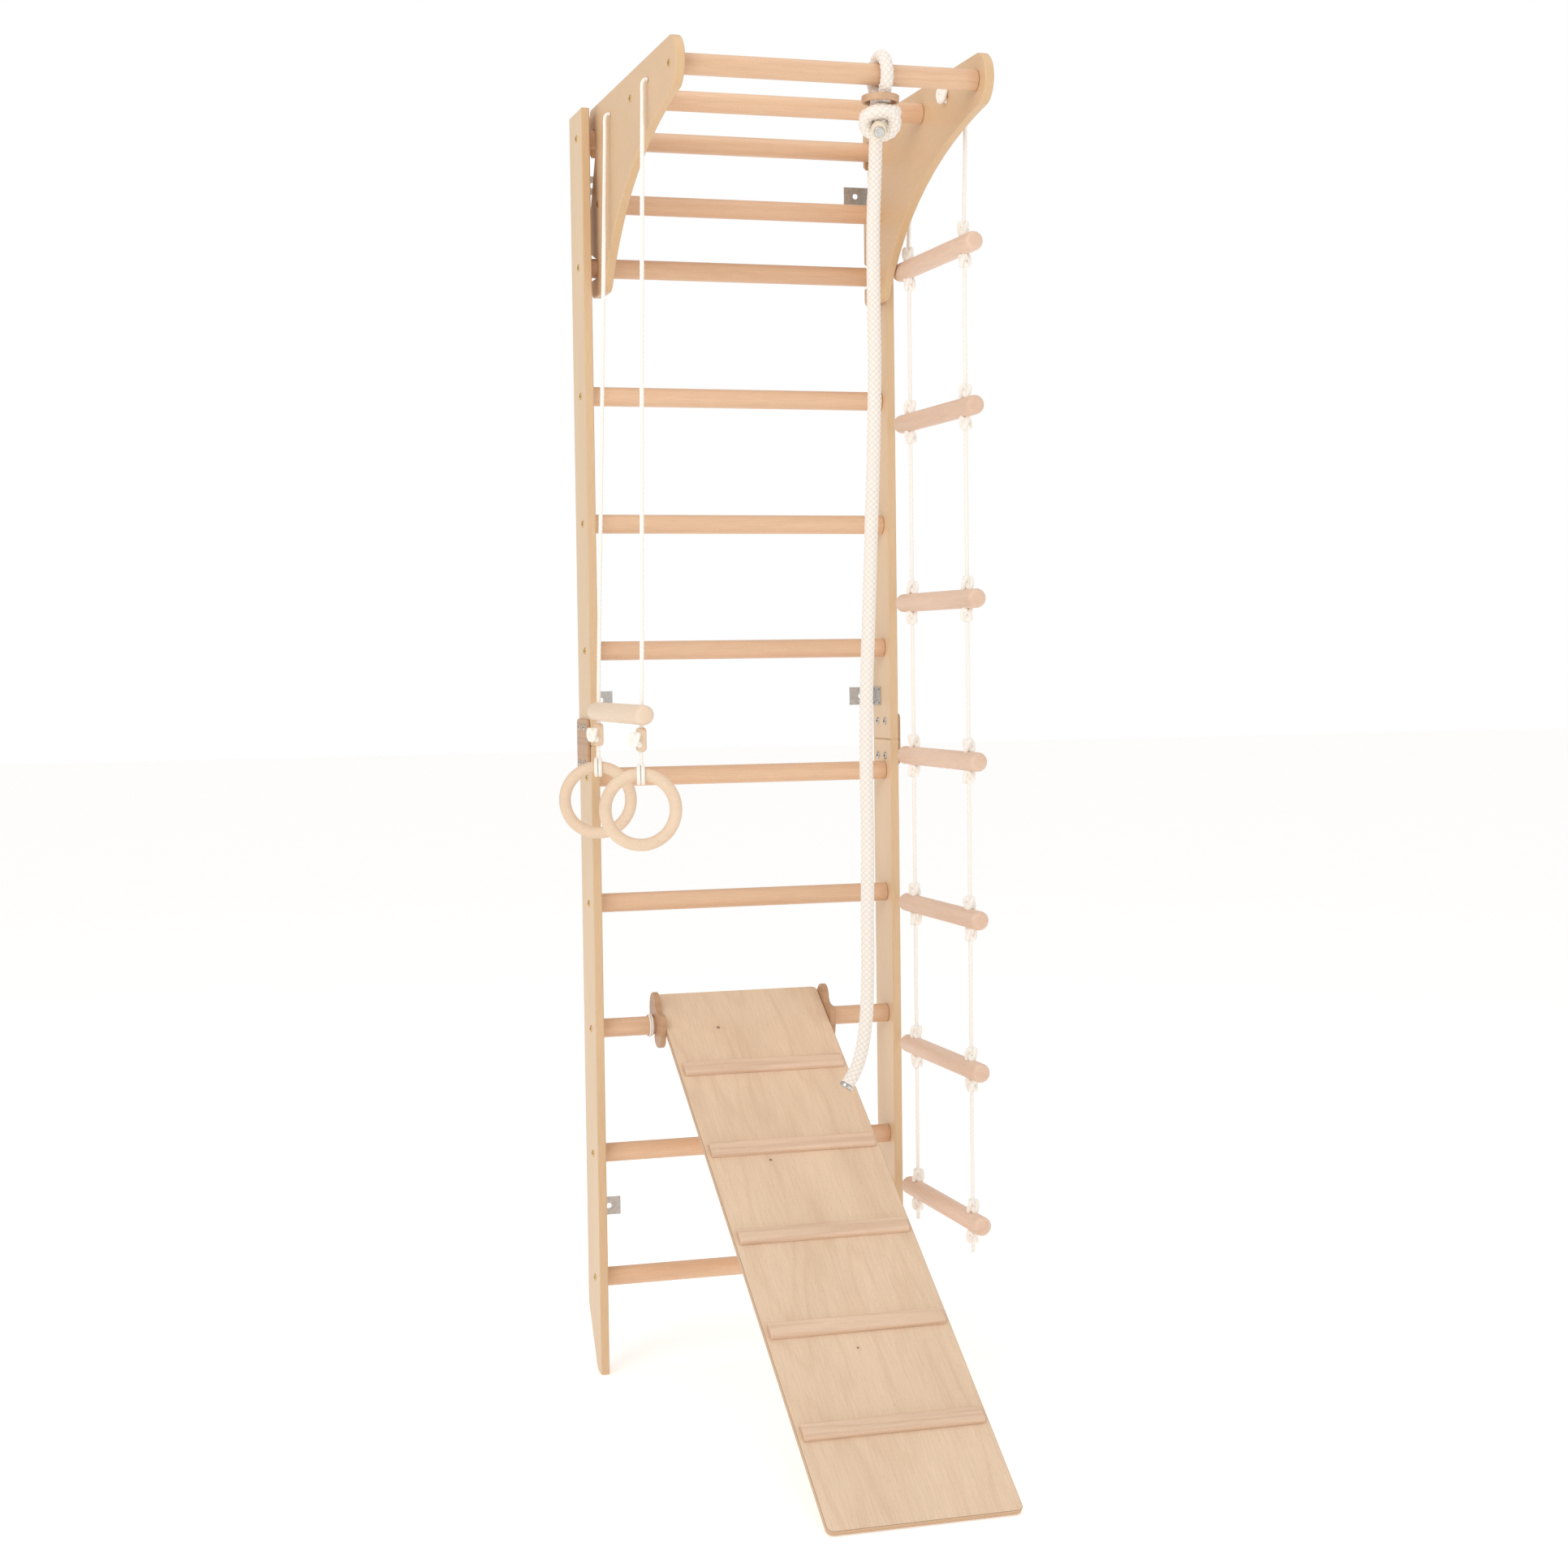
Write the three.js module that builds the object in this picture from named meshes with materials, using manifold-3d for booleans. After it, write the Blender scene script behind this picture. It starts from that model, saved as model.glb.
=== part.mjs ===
// Children's wooden wall-bar gym: wall bars, hook-on pull-up frame, climbing rope,
// trapeze with rings, rope ladder and a hook-on slide board with cleats.
// Millimetres, +Z up. The wall is behind the gym at +Y, and the floor is at Z = 0.
import * as THREE from 'three';
import { mergeVertices } from 'three/addons/utils/BufferGeometryUtils.js';
import Module from 'manifold-3d';

const wasm = await Module();
wasm.setup();

// ---- driving dimensions ----
const GAP = 0.3;                    // clearance kept between pieces that touch

const uprightHeight = 2190;
const uprightDepth = 95;
const plankThickness = 15;
const innerWidth = 532;             // between the two uprights
const seamHeight = 1100;            // where the lower and upper planks meet
const edgeRounding = 1.5;

const rungCount = 10;
const rungSpacing = 220;
const topRungHeight = 2144;
const rungRadius = 16.5;
const rungDepth = 38;               // rung axis behind the front edges

const frameLeft = -252;             // outer face of the left cheek
const frameRight = 263;             // outer face of the right cheek
const barHeight = 2156;
const frontBarY = -495;
const middleBarY = -240;
const rearBar = { y: 8, z: 2029 };
const noseRadius = 42;
const cheekBottom = 1875;
const hookRadius = 17.2;
const hangerFront = -360;           // cord holes in both cheeks
const hangerRear = -95;
const hangerHeight = 2160;

const cordDiameter = 7;
const cordHoleRadius = 4.2;
const trapezeX = -261;              // where the cords start down
const trapezeLean = 23;             // how much further out they are at the bar
const trapezeHeight = 1161;
const trapezeHoles = { front: -384, rear: -76 };
const trapezeOverhang = 25;
const ringRadius = 56;
const ringTube = 10;
const ringCentreHeight = 1011;
const ringTurn = -14 * Math.PI / 180;
const adjusterHeight = 1122;
const adjusterSize = { thickness: 14, width: 20, height: 38 };

const ladderX = 281;
const ladderHoles = { front: -350, rear: -80 };
const ladderOverhang = 50;
const ladderRungRadius = 16;
const ladderRungHeights = [1922, 1657, 1342, 1073, 811, 558, 302];

const ropeDiameter = 22;
const ropeX = 88;
const loopDiameter = 21;
const strandOffset = 10.9;          // the loop's two strands from the rope's axis, inside the ring
const stopperHeight = 2118;
const knotCentre = 2085;
const knotHalf = { x: 35, y: 30, z: 26.5 };
const tailSleeve = { radius: 11.5, start: 4, length: 24 };
const tailDrop = 25 * Math.PI / 180;    // below level
const tailTurn = -16 * Math.PI / 180;   // from straight forward

const slideRung = 8;
const footReach = 948;              // from the carrying rung's axis to the foot, along the floor
const boardWidth = 300;
const boardLength = 1175;
const boardThickness = 10;
const boardCentreX = -9;
const cleatSpacing = 199;
const firstCleat = 177;             // from the foot to the lowest cleat
const cleatSize = { length: 284, width: 30, height: 9 };
const hookThickness = 10;

const halfInner = innerWidth / 2;
const halfOuter = halfInner + plankThickness;
const rungHeight = (number) => topRungHeight - (number - 1) * rungSpacing;

// ---- materials ----
const finishes = {
  plywood: { color: 0xe3c9a6, roughness: 0.55, metalness: 0 },
  beech: { color: 0xd9ab84, roughness: 0.5, metalness: 0 },
  palebeech: { color: 0xe8cdb0, roughness: 0.5, metalness: 0 },
  darkply: { color: 0xbd9473, roughness: 0.6, metalness: 0 },
  rope: { color: 0xf5eee2, roughness: 0.9, metalness: 0 },
  sleeve: { color: 0xe9dcc8, roughness: 0.6, metalness: 0 },
  steel: { color: 0x96908c, roughness: 0.35, metalness: 0.9 },
};

function addPart(group, name, geometry, finish) {
  const mesh = new THREE.Mesh(geometry, new THREE.MeshStandardMaterial(finishes[finish]));
  mesh.name = name;
  group.add(mesh);
  return mesh;
}

// ---- solids joined and cut ----
function toSolid(geometry) {
  const bare = geometry.clone();
  bare.deleteAttribute('normal');
  bare.deleteAttribute('uv');
  const merged = mergeVertices(bare, 1e-3);
  return new wasm.Manifold(new wasm.Mesh({
    numProp: 3,
    vertProperties: new Float32Array(merged.attributes.position.array),
    triVerts: new Uint32Array(merged.index.array),
  }));
}

function toGeometry(solid) {
  const mesh = solid.getMesh();
  const geometry = new THREE.BufferGeometry();
  geometry.setAttribute('position', new THREE.BufferAttribute(new Float32Array(mesh.vertProperties), 3));
  geometry.setIndex(new THREE.BufferAttribute(new Uint32Array(mesh.triVerts), 1));
  return geometry;
}

function cut(geometry, ...tools) {
  let solid = toSolid(geometry);
  for (const tool of tools) solid = solid.subtract(toSolid(tool));
  return toGeometry(solid);
}

// ---- shared shapes ----
// An outline drawn in (Y, Z) becomes a plate between x0 and x1.
const sideways = new THREE.Matrix4().makeBasis(
  new THREE.Vector3(0, 1, 0), new THREE.Vector3(0, 0, 1), new THREE.Vector3(1, 0, 0));

function plate(outline, x0, x1, rounding = edgeRounding, curveSegments = 4) {
  const geometry = new THREE.ExtrudeGeometry(outline, {
    depth: x1 - x0 - 2 * rounding,
    bevelEnabled: true,
    bevelThickness: rounding,
    bevelSize: rounding,
    bevelOffset: -rounding,
    bevelSegments: 1,
    curveSegments,
  });
  return geometry.translate(0, 0, rounding).applyMatrix4(sideways).translate(x0, 0, 0);
}

// A turned stick along X between x0 and x1, with its ends rounded by endRounding.
function dowel(x0, x1, radius, endRounding, segments = 16) {
  const steps = endRounding > 3 ? 2 : 1;
  const half = (x1 - x0) / 2;
  const profile = [new THREE.Vector2(0, -half)];
  for (let i = 0; i <= steps; i += 1) {
    const turn = (i / steps) * Math.PI / 2;
    profile.push(new THREE.Vector2(
      radius - endRounding * (1 - Math.sin(turn)), -half + endRounding * (1 - Math.cos(turn))));
  }
  const upper = profile.slice().reverse().map((point) => new THREE.Vector2(point.x, -point.y));
  const geometry = new THREE.LatheGeometry([...profile, ...upper], segments);
  return geometry.rotateZ(-Math.PI / 2).translate((x0 + x1) / 2, 0, 0);
}

function circleShape(radius) {
  return new THREE.Shape().absarc(0, 0, radius, 0, 2 * Math.PI, false);
}

// A closed tube of the given diameter along a smooth curve through the points.
function tube(points, diameter, steps) {
  const path = new THREE.CatmullRomCurve3(points.map((point) => new THREE.Vector3(...point)));
  return new THREE.ExtrudeGeometry(circleShape(diameter / 2), {
    steps, curveSegments: 4, bevelEnabled: false, extrudePath: path,
  });
}

function drill(x, y, z, radius, length, direction) {
  const tool = new THREE.CylinderGeometry(radius, radius, length, 10);
  if (direction === 'x') tool.rotateZ(Math.PI / 2);
  if (direction === 'z') tool.rotateX(Math.PI / 2);
  return tool.translate(x, y, z);
}

// ---- wall bars ----
function lowerUprightOutline() {
  const outline = new THREE.Shape();
  outline.moveTo(0, 0);
  outline.lineTo(18, 0);
  outline.quadraticCurveTo(34, 0, 42, 20);
  outline.lineTo(uprightDepth, 108);
  outline.lineTo(uprightDepth, seamHeight - GAP);
  outline.lineTo(0, seamHeight - GAP);
  return outline;
}

function upperUprightOutline() {
  const outline = new THREE.Shape();
  outline.moveTo(0, seamHeight);
  outline.lineTo(uprightDepth, seamHeight);
  outline.lineTo(uprightDepth, uprightHeight);
  outline.lineTo(0, uprightHeight);
  return outline;
}

function roundedRectangle(y0, z0, y1, z1, radius) {
  const outline = new THREE.Shape();
  outline.moveTo(y0 + radius, z0);
  outline.lineTo(y1 - radius, z0);
  outline.absarc(y1 - radius, z0 + radius, radius, -Math.PI / 2, 0, false);
  outline.lineTo(y1, z1 - radius);
  outline.absarc(y1 - radius, z1 - radius, radius, 0, Math.PI / 2, false);
  outline.lineTo(y0 + radius, z1);
  outline.absarc(y0 + radius, z1 - radius, radius, Math.PI / 2, Math.PI, false);
  outline.lineTo(y0, z0 + radius);
  outline.absarc(y0 + radius, z0 + radius, radius, Math.PI, 1.5 * Math.PI, false);
  return outline;
}

const spliceThickness = 5;
const spliceHeight = 92;
const bracketSteel = 2;
const bracketLeg = 45;
const bracketHeight = 32;
const bracketHeights = { top: 2076, middle: 1177, bottom: 277 };

// An L of steel in the corner between the upright's inner face and the wall.
function wallBracket(side, height) {
  const face = side * (halfInner - GAP);
  const outline = new THREE.Shape();
  outline.moveTo(face, uprightDepth);
  outline.lineTo(face - side * bracketLeg, uprightDepth);
  outline.lineTo(face - side * bracketLeg, uprightDepth - bracketSteel);
  outline.lineTo(face - side * bracketSteel, uprightDepth - bracketSteel);
  outline.lineTo(face - side * bracketSteel, uprightDepth - bracketLeg);
  outline.lineTo(face, uprightDepth - bracketLeg);
  const body = new THREE.ExtrudeGeometry(outline, { depth: bracketHeight, bevelEnabled: false })
    .translate(0, 0, height - bracketHeight / 2);
  const wallScrewHole = drill(face - side * 24, uprightDepth, height, 5, 20, 'y');
  return cut(body, wallScrewHole);
}

function wallBars() {
  const group = new THREE.Group();
  for (const [label, side] of [['left', -1], ['right', 1]]) {
    const x0 = side < 0 ? -halfOuter : halfInner;
    const x1 = x0 + plankThickness;
    addPart(group, `upright_${label}_lower`, plate(lowerUprightOutline(), x0, x1), 'plywood');
    addPart(group, `upright_${label}_upper`, plate(upperUprightOutline(), x0, x1), 'plywood');

    const outside = side < 0 ? -halfOuter - GAP - spliceThickness : halfOuter + GAP;
    const spliceOutline = roundedRectangle(
      4, seamHeight - spliceHeight / 2, 90, seamHeight + spliceHeight / 2, 10);
    const splice = plate(spliceOutline, outside, outside + spliceThickness, 1, 2);
    addPart(group, `splice_plate_${label}`, splice, 'darkply');

    for (const [place, height] of Object.entries(bracketHeights)) {
      addPart(group, `wall_bracket_${label}_${place}`, wallBracket(side, height), 'steel');
    }
  }
  for (let number = 1; number <= rungCount; number += 1) {
    const rung = dowel(-halfInner + GAP, halfInner - GAP, rungRadius, 1)
      .translate(0, rungDepth, rungHeight(number));
    addPart(group, `wall_rung_${number}`, rung, 'beech');
  }
  return group;
}

// ---- pull-up frame that hooks over rung 1 and rests against rung 2 ----
function cheekOutline() {
  const top = barHeight + noseRadius;
  const rung1 = rungHeight(1);
  const rung2 = rungHeight(2);
  const rear = rungDepth + 28;
  const noseEnd = 250 * Math.PI / 180;
  const outline = new THREE.Shape();
  outline.moveTo(rear - 12, top);
  outline.lineTo(frontBarY, top);
  outline.absarc(frontBarY, barHeight, noseRadius, Math.PI / 2, noseEnd, false);
  outline.quadraticCurveTo(-175, 2070, -40, 1896);
  outline.quadraticCurveTo(-30, cheekBottom, -12, cheekBottom);
  outline.lineTo(rear - 14, cheekBottom);
  outline.quadraticCurveTo(rear, cheekBottom, rear, cheekBottom + 14);
  // notch that rests against rung 2, open at the rear
  outline.lineTo(rear, rung2 - hookRadius);
  outline.lineTo(rungDepth, rung2 - hookRadius);
  outline.absarc(rungDepth, rung2, hookRadius, -Math.PI / 2, Math.PI / 2, true);
  outline.lineTo(rear, rung2 + hookRadius + 9);
  // mouth and hook over rung 1
  outline.lineTo(rear, 2030);
  outline.lineTo(rungDepth - hookRadius, rung1 - 22);
  outline.lineTo(rungDepth - hookRadius, rung1);
  outline.absarc(rungDepth, rung1, hookRadius, Math.PI, 0, true);
  outline.lineTo(rungDepth + hookRadius, rung1 - 28);
  outline.lineTo(rear, rung1 - 22);
  outline.lineTo(rear, top - 12);
  return outline;
}

function cheek(x0) {
  const x1 = x0 + plankThickness;
  const middle = (x0 + x1) / 2;
  return cut(
    plate(cheekOutline(), x0, x1, edgeRounding, 12),
    drill(middle, hangerFront, hangerHeight, cordHoleRadius, 2 * plankThickness, 'x'),
    drill(middle, hangerRear, hangerHeight, cordHoleRadius, 2 * plankThickness, 'x'));
}

function pullUpFrame() {
  const group = new THREE.Group();
  addPart(group, 'cheek_left', cheek(frameLeft), 'plywood');
  addPart(group, 'cheek_right', cheek(frameRight - plankThickness), 'plywood');
  const x0 = frameLeft + plankThickness + GAP;
  const x1 = frameRight - plankThickness - GAP;
  const bars = [
    ['pull_up_bar_front', frontBarY, barHeight],
    ['pull_up_bar_middle', middleBarY, barHeight],
    ['pull_up_bar_rear', rearBar.y, rearBar.z],
  ];
  for (const [name, y, z] of bars) {
    addPart(group, name, dowel(x0, x1, rungRadius, 1).translate(0, y, z), 'beech');
  }
  return group;
}

// ---- climbing rope ----
// The hanging stretch, from under the knot to its ferrule.
const ropeRoute = [
  [80, -495, 2058], [77, -495, 1990], [74, -495, 1920], [73, -496, 1810],
  [73, -497, 1700], [70, -497, 1580], [65, -496, 1450], [60, -495, 1320],
  [55, -494, 1200], [53, -494, 1080], [54, -494, 960], [52, -495, 850],
  [51, -496, 750], [47, -497, 675], [38, -498, 622], [27, -498, 592], [15, -498, 573],
];

// The loop goes up in front of the bar, over it and down behind it.
function loopRoute() {
  const wrap = rungRadius + loopDiameter / 2 + 4 * GAP;
  const ends = [stopperHeight - 6, stopperHeight + 6];
  const points = ends.map((z) => [ropeX + 3, frontBarY - strandOffset, z]);
  for (let degrees = 240; degrees >= -60; degrees -= 30) {
    const turn = degrees * Math.PI / 180;
    const x = ropeX + 3 - 6 * (240 - degrees) / 300;
    points.push([x, frontBarY + wrap * Math.cos(turn), barHeight + wrap * Math.sin(turn)]);
  }
  const rearEnds = ends.reverse().map((z) => [ropeX - 3, frontBarY + strandOffset, z]);
  return [...points, ...rearEnds];
}

function ropeStopper() {
  const inner = 24;
  const outer = 29.5;
  const half = 5.5;
  const profile = [[inner, -half + 1], [inner + 1, -half], [outer - 2, -half], [outer, -half + 2],
    [outer, half - 2], [outer - 2, half], [inner + 1, half], [inner, half - 1], [inner, -half + 1]]
    .map(([x, y]) => new THREE.Vector2(x, y));
  return new THREE.LatheGeometry(profile, 22).rotateX(Math.PI / 2)
    .translate(ropeX, frontBarY, stopperHeight);
}

function ropeKnot(growth = 0) {
  return new THREE.SphereGeometry(1, 14, 9)
    .scale(knotHalf.x + growth, knotHalf.y + growth, knotHalf.z + growth)
    .translate(ropeX, frontBarY, knotCentre);
}

// The short end of the rope, in a sleeve with a steel ferrule, points forward and down.
function ropeTail(radius, from, length) {
  return new THREE.CylinderGeometry(radius, radius, length, 16)
    .translate(0, from + length / 2, 0)
    .rotateX(Math.PI + tailDrop)
    .rotateZ(tailTurn)
    .translate(ropeX - 8, frontBarY - 12, knotCentre - 13);
}

function climbingRope() {
  const group = new THREE.Group();
  addPart(group, 'climbing_rope', tube(ropeRoute, ropeDiameter, 26), 'rope');
  addPart(group, 'rope_loop', tube(loopRoute(), loopDiameter, 28), 'rope');
  addPart(group, 'rope_stopper_ring', ropeStopper(), 'darkply');
  addPart(group, 'rope_knot', ropeKnot(), 'rope');
  const sleeve = ropeTail(tailSleeve.radius, tailSleeve.start, tailSleeve.length);
  addPart(group, 'rope_tail_sleeve', cut(sleeve, ropeKnot(GAP)), 'sleeve');
  const sleeveEnd = tailSleeve.start + tailSleeve.length;
  addPart(group, 'rope_tail_ferrule', ropeTail(8.5, sleeveEnd + GAP, 5), 'steel');
  const ferrule = new THREE.CylinderGeometry(11.3, 11.3, 7, 16).rotateX(Math.PI / 2).translate(0, 0, -4)
    .rotateY(0.6)
    .translate(...ropeRoute[ropeRoute.length - 1]);
  addPart(group, 'rope_end_ferrule', ferrule, 'steel');
  return group;
}

// ---- trapeze and rings on two cords outside the left cheek ----
const hangStart = hangerHeight - 24;
const leaning = (z) => trapezeX - trapezeLean * Math.max(0, hangStart - z) / (hangStart - trapezeHeight);

function trapezeRoute(holeY, barY) {
  const out = frameLeft - GAP;
  return [
    [out, holeY, hangerHeight], [out - 3.5, holeY, hangerHeight], [out - 7, holeY, hangerHeight - 3],
    [trapezeX, holeY, hangerHeight - 11], [trapezeX, holeY, hangStart], [leaning(2100), holeY, 2100],
    [leaning(1950), holeY + (barY - holeY) * 0.15, 1950],
    [leaning(1700), holeY + (barY - holeY) * 0.4, 1700],
    [leaning(1450), holeY + (barY - holeY) * 0.75, 1450],
    ...[1260, 1180, 1140, 1110, ringCentreHeight + ringRadius + ringTube + GAP].map((z) => [leaning(z), barY, z]),
  ];
}

function ring(y) {
  return new THREE.TorusGeometry(ringRadius, ringTube, 8, 26)
    .rotateX(Math.PI / 2)
    .rotateZ(ringTurn)
    .translate(leaning(ringCentreHeight), y, ringCentreHeight);
}

// A small wooden block that the cord runs through above each ring.
function ropeAdjuster(y) {
  const { thickness, width, height } = adjusterSize;
  const x = leaning(adjusterHeight);
  const outline = roundedRectangle(
    y - width / 2, adjusterHeight - height / 2, y + width / 2, adjusterHeight + height / 2, 8);
  return cut(
    plate(outline, x - thickness / 2, x + thickness / 2, 2, 3),
    drill(x, y, adjusterHeight, cordHoleRadius, 2 * height, 'z'));
}

function trapeze() {
  const group = new THREE.Group();
  const { front, rear } = trapezeHoles;
  const length = rear - front + 2 * trapezeOverhang;
  const x = leaning(trapezeHeight);
  const bar = dowel(-length / 2, length / 2, ladderRungRadius, 9)
    .rotateZ(Math.PI / 2)
    .translate(x, (front + rear) / 2, trapezeHeight);
  const holes = [front, rear].map((y) => drill(x, y, trapezeHeight, cordHoleRadius, 50, 'z'));
  addPart(group, 'trapeze_bar', cut(bar, ...holes), 'palebeech');
  const places = [['front', front, hangerFront], ['rear', rear, hangerRear]];
  for (const [label, y, holeY] of places) {
    addPart(group, `trapeze_cord_${label}`, tube(trapezeRoute(holeY, y), cordDiameter, 34), 'rope');
    addPart(group, `rope_adjuster_${label}`, ropeAdjuster(y), 'darkply');
    addPart(group, `ring_${label}`, ring(y), 'palebeech');
  }
  return group;
}

// ---- rope ladder outside the right cheek ----
function ladderRoute(holeY, ropeY) {
  const out = frameRight + GAP;
  return [
    [out, holeY, hangerHeight], [out + 5, holeY, hangerHeight], [out + 13.5, holeY, hangerHeight - 4],
    [ladderX, holeY, hangerHeight - 14], [ladderX, holeY, hangerHeight - 28], [ladderX, holeY, 2100],
    [ladderX, ropeY, 1960], [ladderX, ropeY, 1890], [ladderX, ropeY, 1700], [ladderX, ropeY, 1500],
    [ladderX, ropeY, 1300], [ladderX, ropeY, 1100], [ladderX, ropeY, 900], [ladderX, ropeY, 700], [ladderX, ropeY, 500],
    [ladderX, ropeY, 330], [ladderX, ropeY, 250],
  ];
}

function ladderRung(height) {
  const { front, rear } = ladderHoles;
  const length = rear - front + 2 * ladderOverhang;
  const stick = dowel(-length / 2, length / 2, ladderRungRadius, 9)
    .rotateZ(Math.PI / 2)
    .translate(ladderX, (front + rear) / 2, height);
  const holes = [front, rear].map((y) => drill(ladderX, y, height, cordHoleRadius, 50, 'z'));
  return cut(stick, ...holes);
}

function ropeLadder() {
  const group = new THREE.Group();
  ladderRungHeights.forEach((height, index) => {
    addPart(group, `ladder_rung_${index + 1}`, ladderRung(height), 'beech');
  });
  const places = [['front', ladderHoles.front, hangerFront], ['rear', ladderHoles.rear, hangerRear]];
  for (const [label, ropeY, holeY] of places) {
    addPart(group, `ladder_rope_${label}`, tube(ladderRoute(holeY, ropeY), cordDiameter, 56), 'rope');
  }
  return group;
}

// ---- slide board that hooks over rung 8 ----
const slope = Math.atan2(rungHeight(slideRung), footReach)
  + Math.asin((rungRadius + 1) / Math.hypot(rungHeight(slideRung), footReach));
const boardUnderside = rungRadius + 1;
const footEnd = -Math.sqrt(rungHeight(slideRung) ** 2 + footReach ** 2 - boardUnderside ** 2);

function cleat(fromFoot) {
  const { length, width, height } = cleatSize;
  const round = 6;
  const outline = new THREE.Shape();
  outline.moveTo(-width / 2, 0);
  outline.lineTo(width / 2, 0);
  outline.lineTo(width / 2, height - round);
  outline.absarc(width / 2 - round, height - round, round, 0, Math.PI / 2, false);
  outline.lineTo(-width / 2 + round, height);
  outline.absarc(-width / 2 + round, height - round, round, Math.PI / 2, Math.PI, false);
  return plate(outline, boardCentreX - length / 2, boardCentreX + length / 2, 1.2, 2)
    .translate(0, footEnd + fromFoot, boardUnderside + boardThickness + GAP);
}

// Outline around the carrying rung's axis: a tall lobe above it and a nose in front of it.
function slideHookOutline() {
  const notch = hookRadius;
  const lean = Math.PI / 4;
  const start = new THREE.Vector2(notch * Math.cos(lean), notch * Math.sin(lean));
  const outline = new THREE.Shape();
  outline.moveTo(start.x, start.y);
  outline.absarc(0, 0, notch, lean, lean + Math.PI, false);
  outline.lineTo(-6, -20);
  outline.quadraticCurveTo(-12, -35, -30, -36);
  outline.quadraticCurveTo(-50, -36, -54, -18);
  outline.lineTo(-58, 10);
  outline.quadraticCurveTo(-58, 24, -44, 24);
  outline.quadraticCurveTo(-22, 24, -18, 36);
  outline.quadraticCurveTo(-14, 58, 4, 58);
  outline.quadraticCurveTo(24, 56, 26, 30);
  outline.lineTo(25, 8);
  outline.quadraticCurveTo(22, 2, start.x + 4, start.y - 4);
  return outline;
}

function slideBoard() {
  const group = new THREE.Group();
  group.position.set(0, rungDepth, rungHeight(slideRung));

  const tilted = new THREE.Group();
  tilted.rotation.x = slope;
  group.add(tilted);
  const outline = roundedRectangle(
    boardCentreX - boardWidth / 2, footEnd, boardCentreX + boardWidth / 2, footEnd + boardLength, 10);
  const board = new THREE.ExtrudeGeometry(outline, {
    depth: boardThickness - 2,
    bevelEnabled: true,
    bevelThickness: 1,
    bevelSize: 1,
    bevelOffset: -1,
    bevelSegments: 1,
    curveSegments: 2,
  }).translate(0, 0, boardUnderside + 1);
  addPart(tilted, 'slide_board', board, 'plywood');
  for (let number = 1; number <= 5; number += 1) {
    const fromFoot = firstCleat + (5 - number) * cleatSpacing;
    addPart(tilted, `slide_cleat_${number}`, cleat(fromFoot), 'beech');
  }

  const leftFace = boardCentreX - boardWidth / 2 - GAP;
  const rightFace = boardCentreX + boardWidth / 2 + GAP;
  const outlineOfHook = slideHookOutline();
  for (const [label, x0] of [['left', leftFace - hookThickness], ['right', rightFace]]) {
    const hook = plate(outlineOfHook, x0, x0 + hookThickness, 1, 5);
    addPart(group, `slide_hook_${label}`, hook, 'darkply');
  }
  return group;
}

// ---- the whole gym, with its origin on the floor at the middle of its box ----
const gym = new THREE.Group();
gym.add(wallBars(), pullUpFrame(), climbingRope(), trapeze(), ropeLadder(), slideBoard());
gym.updateMatrixWorld(true);
const box = new THREE.Box3().setFromObject(gym, true);
gym.position.set(-(box.min.x + box.max.x) / 2, -(box.min.y + box.max.y) / 2, -box.min.z);

export default gym;
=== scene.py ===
"""Looks for a children's wooden wall-bar gym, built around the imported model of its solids.

Driving dimensions are in millimetres, measured in the gym's own frame: X from the middle
between the two uprights, Y from the uprights' front edges towards the wall, Z from the floor.
Sizes of small details are in metres.
"""
import math

import bpy
import numpy as np
from mathutils import Matrix, Vector


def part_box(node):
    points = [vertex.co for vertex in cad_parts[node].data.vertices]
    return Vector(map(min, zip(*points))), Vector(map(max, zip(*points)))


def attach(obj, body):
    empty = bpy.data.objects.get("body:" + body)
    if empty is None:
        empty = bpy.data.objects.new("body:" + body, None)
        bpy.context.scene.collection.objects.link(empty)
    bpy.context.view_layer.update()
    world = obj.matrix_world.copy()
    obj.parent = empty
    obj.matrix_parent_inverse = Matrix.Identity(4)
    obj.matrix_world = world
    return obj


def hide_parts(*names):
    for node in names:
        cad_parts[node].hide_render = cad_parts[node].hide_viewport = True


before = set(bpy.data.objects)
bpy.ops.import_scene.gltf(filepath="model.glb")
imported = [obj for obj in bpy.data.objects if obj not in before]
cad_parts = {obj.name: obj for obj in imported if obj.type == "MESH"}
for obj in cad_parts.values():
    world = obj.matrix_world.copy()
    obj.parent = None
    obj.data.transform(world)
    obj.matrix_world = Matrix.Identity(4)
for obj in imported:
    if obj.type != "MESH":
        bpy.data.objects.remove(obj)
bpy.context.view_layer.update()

# ---- driving dimensions ----
GAP = 0.3
RUNG_PITCH = 220
RUNG_RADIUS = 16.5
TOP_RUNG = 2144
RUNG_AXIS_Y = 38
UPRIGHT_OUTSIDE = 281
UPRIGHT_INSIDE = 266
SEAM = 1100
CHEEK_LEFT_OUTSIDE = -252
CHEEK_RIGHT_OUTSIDE = 263
CHEEK_THICKNESS = 15
BAR_Z = 2156
FRONT_BAR_Y = -495
MIDDLE_BAR_Y = -240
REAR_BAR_Y, REAR_BAR_Z = 8, 2029
HANGER_Z = 2160
HANGER_FRONT, HANGER_REAR = -360, -95
TRAPEZE_X = -261
TRAPEZE_LEAN = 23
HANG_START = 2136
TRAPEZE_Z = 1161
TRAPEZE_FRONT, TRAPEZE_REAR = -384, -76
RING_CENTRE_Z = 1011
RING_RADIUS, RING_TUBE = 56, 10
RING_TURN = math.radians(-14)
ADJUSTER_Z = 1122
LADDER_X = 281
LADDER_FRONT, LADDER_REAR = -350, -80
LADDER_RUNGS = (1922, 1657, 1342, 1073, 811, 558, 302)
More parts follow.
